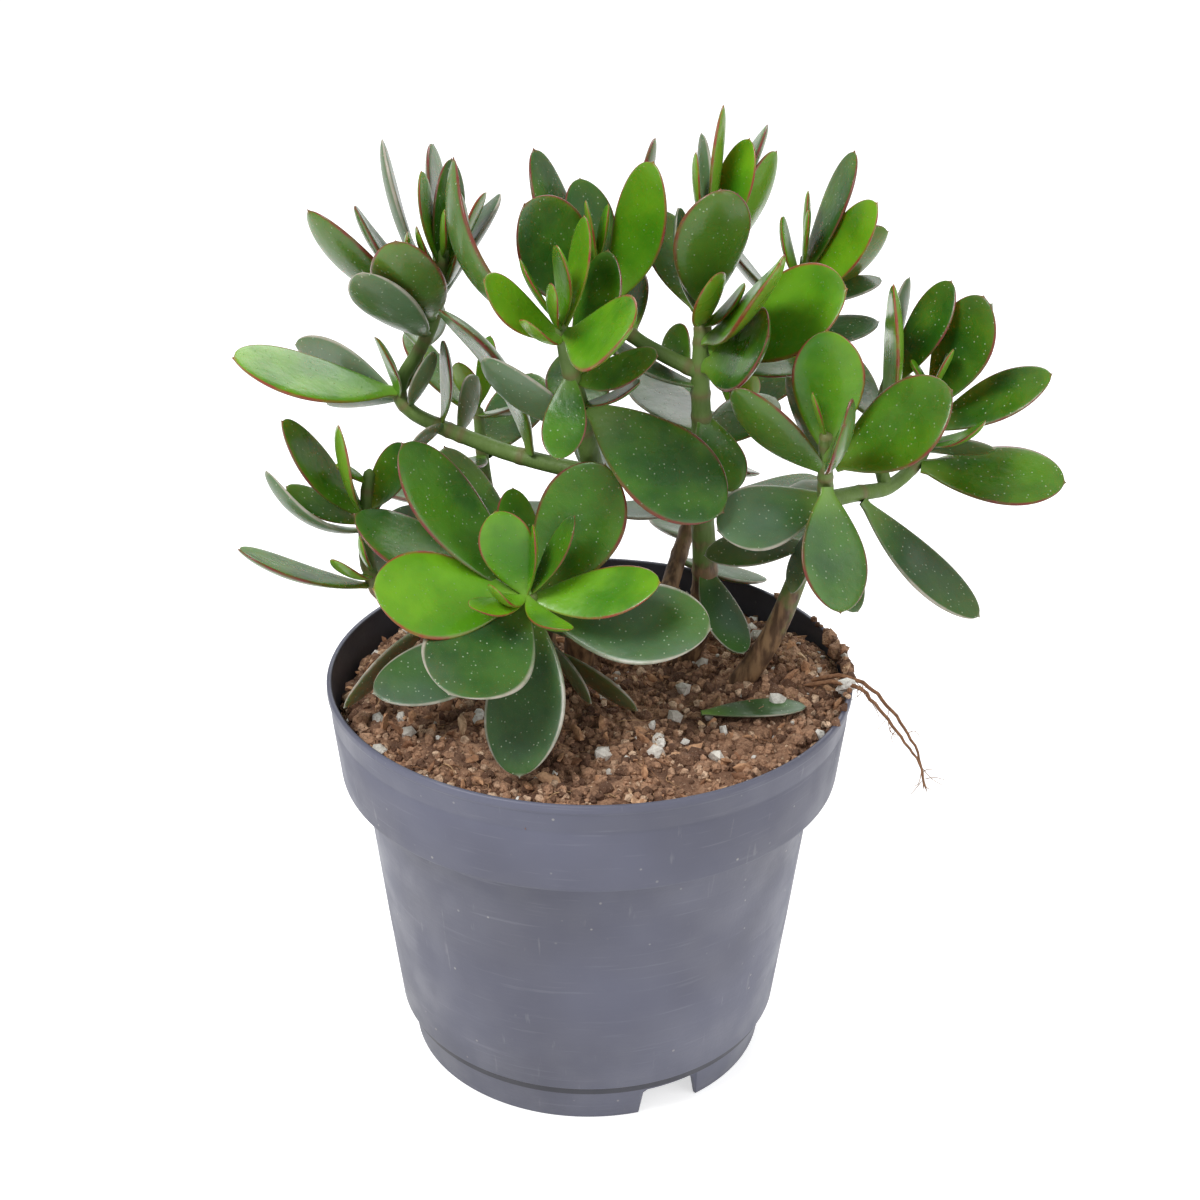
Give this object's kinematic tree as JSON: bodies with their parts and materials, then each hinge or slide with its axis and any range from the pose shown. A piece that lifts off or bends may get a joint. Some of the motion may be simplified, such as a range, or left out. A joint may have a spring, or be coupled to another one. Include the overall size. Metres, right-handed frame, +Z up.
{
  "type": "potted jade plant",
  "caption": "Jade plant with thick oval leaves on branching woody stems, rooted in soil in a round plastic nursery pot.",
  "frame": {"origin": "on the pot's axis, at the plane that the pot stands on (underside of its centre foot)", "axes": "+Z up along the pot's axis; -Y is the side with the large front rosette; +X is the side that the plant spreads to furthest"},
  "size_m": [0.2532, 0.1868, 0.3134],
  "materials": {
    "pot_plastic": "satin slate-grey moulded plastic",
    "potting_soil": "loose peat and bark with perlite",
    "stem": "green to woody brown stem, ringed at the nodes",
    "young_leaf": "glossy yellow-green, thin red margin",
    "mature_leaf": "waxy dark green with pale dots and a red-brown margin",
    "old_leaf": "dull blue-grey green with a pale margin"
  },
  "bodies": {
    "root": {"fallen_leaf": "old_leaf", "leaf_back_01": "young_leaf", "leaf_crown_01": "mature_leaf", "leaf_crown_02": "young_leaf", "leaf_crown_03": "mature_leaf", "leaf_crown_06": "mature_leaf", "leaf_far_02": "mature_leaf", "leaf_far_06": "old_leaf", "leaf_front_01": "young_leaf", "leaf_front_03": "old_leaf", "leaf_front_04": "old_leaf", "leaf_front_05": "old_leaf", "leaf_front_11": "mature_leaf", "leaf_front_12": "mature_leaf", "leaf_front_13": "mature_leaf", "leaf_front_14": "old_leaf", "leaf_front_18": "mature_leaf", "leaf_left_01": "young_leaf", "leaf_left_02": "old_leaf", "leaf_left_03": "mature_leaf", "leaf_left_04": "mature_leaf", "leaf_left_07": "old_leaf", "leaf_left_10": "mature_leaf", "leaf_left_16": "old_leaf", "leaf_left_19": "mature_leaf", "leaf_low_01": "mature_leaf", "leaf_rear_left_05": "mature_leaf", "leaf_rear_left_07": "mature_leaf", "leaf_rear_left_09": "old_leaf", "leaf_rear_right_05": "mature_leaf", "leaf_rear_right_07": "mature_leaf", "leaf_right_01": "mature_leaf", "leaf_right_03": "mature_leaf", "leaf_right_04": "mature_leaf", "leaf_tall_01": "young_leaf", "leaf_tall_02": "mature_leaf", "leaf_tall_03": "young_leaf", "leaf_tall_04": "mature_leaf", "leaf_tall_19": "mature_leaf", "leaf_trunk_01": "mature_leaf", "leaf_trunk_02": "young_leaf", "leaf_trunk_04": "mature_leaf", "leaf_trunk_16": "old_leaf", "pot": "pot_plastic", "shoot_back": "stem", "shoot_crown": "stem", "shoot_far": "stem", "shoot_front": "stem", "shoot_left": "stem", "shoot_low": "stem", "shoot_rear_left": "stem", "shoot_rear_right": "stem", "shoot_right": "stem", "shoot_spur": "stem", "shoot_tall": "stem", "shoot_trunk": "stem", "soil": "potting_soil"}
  },
  "joints": []
}
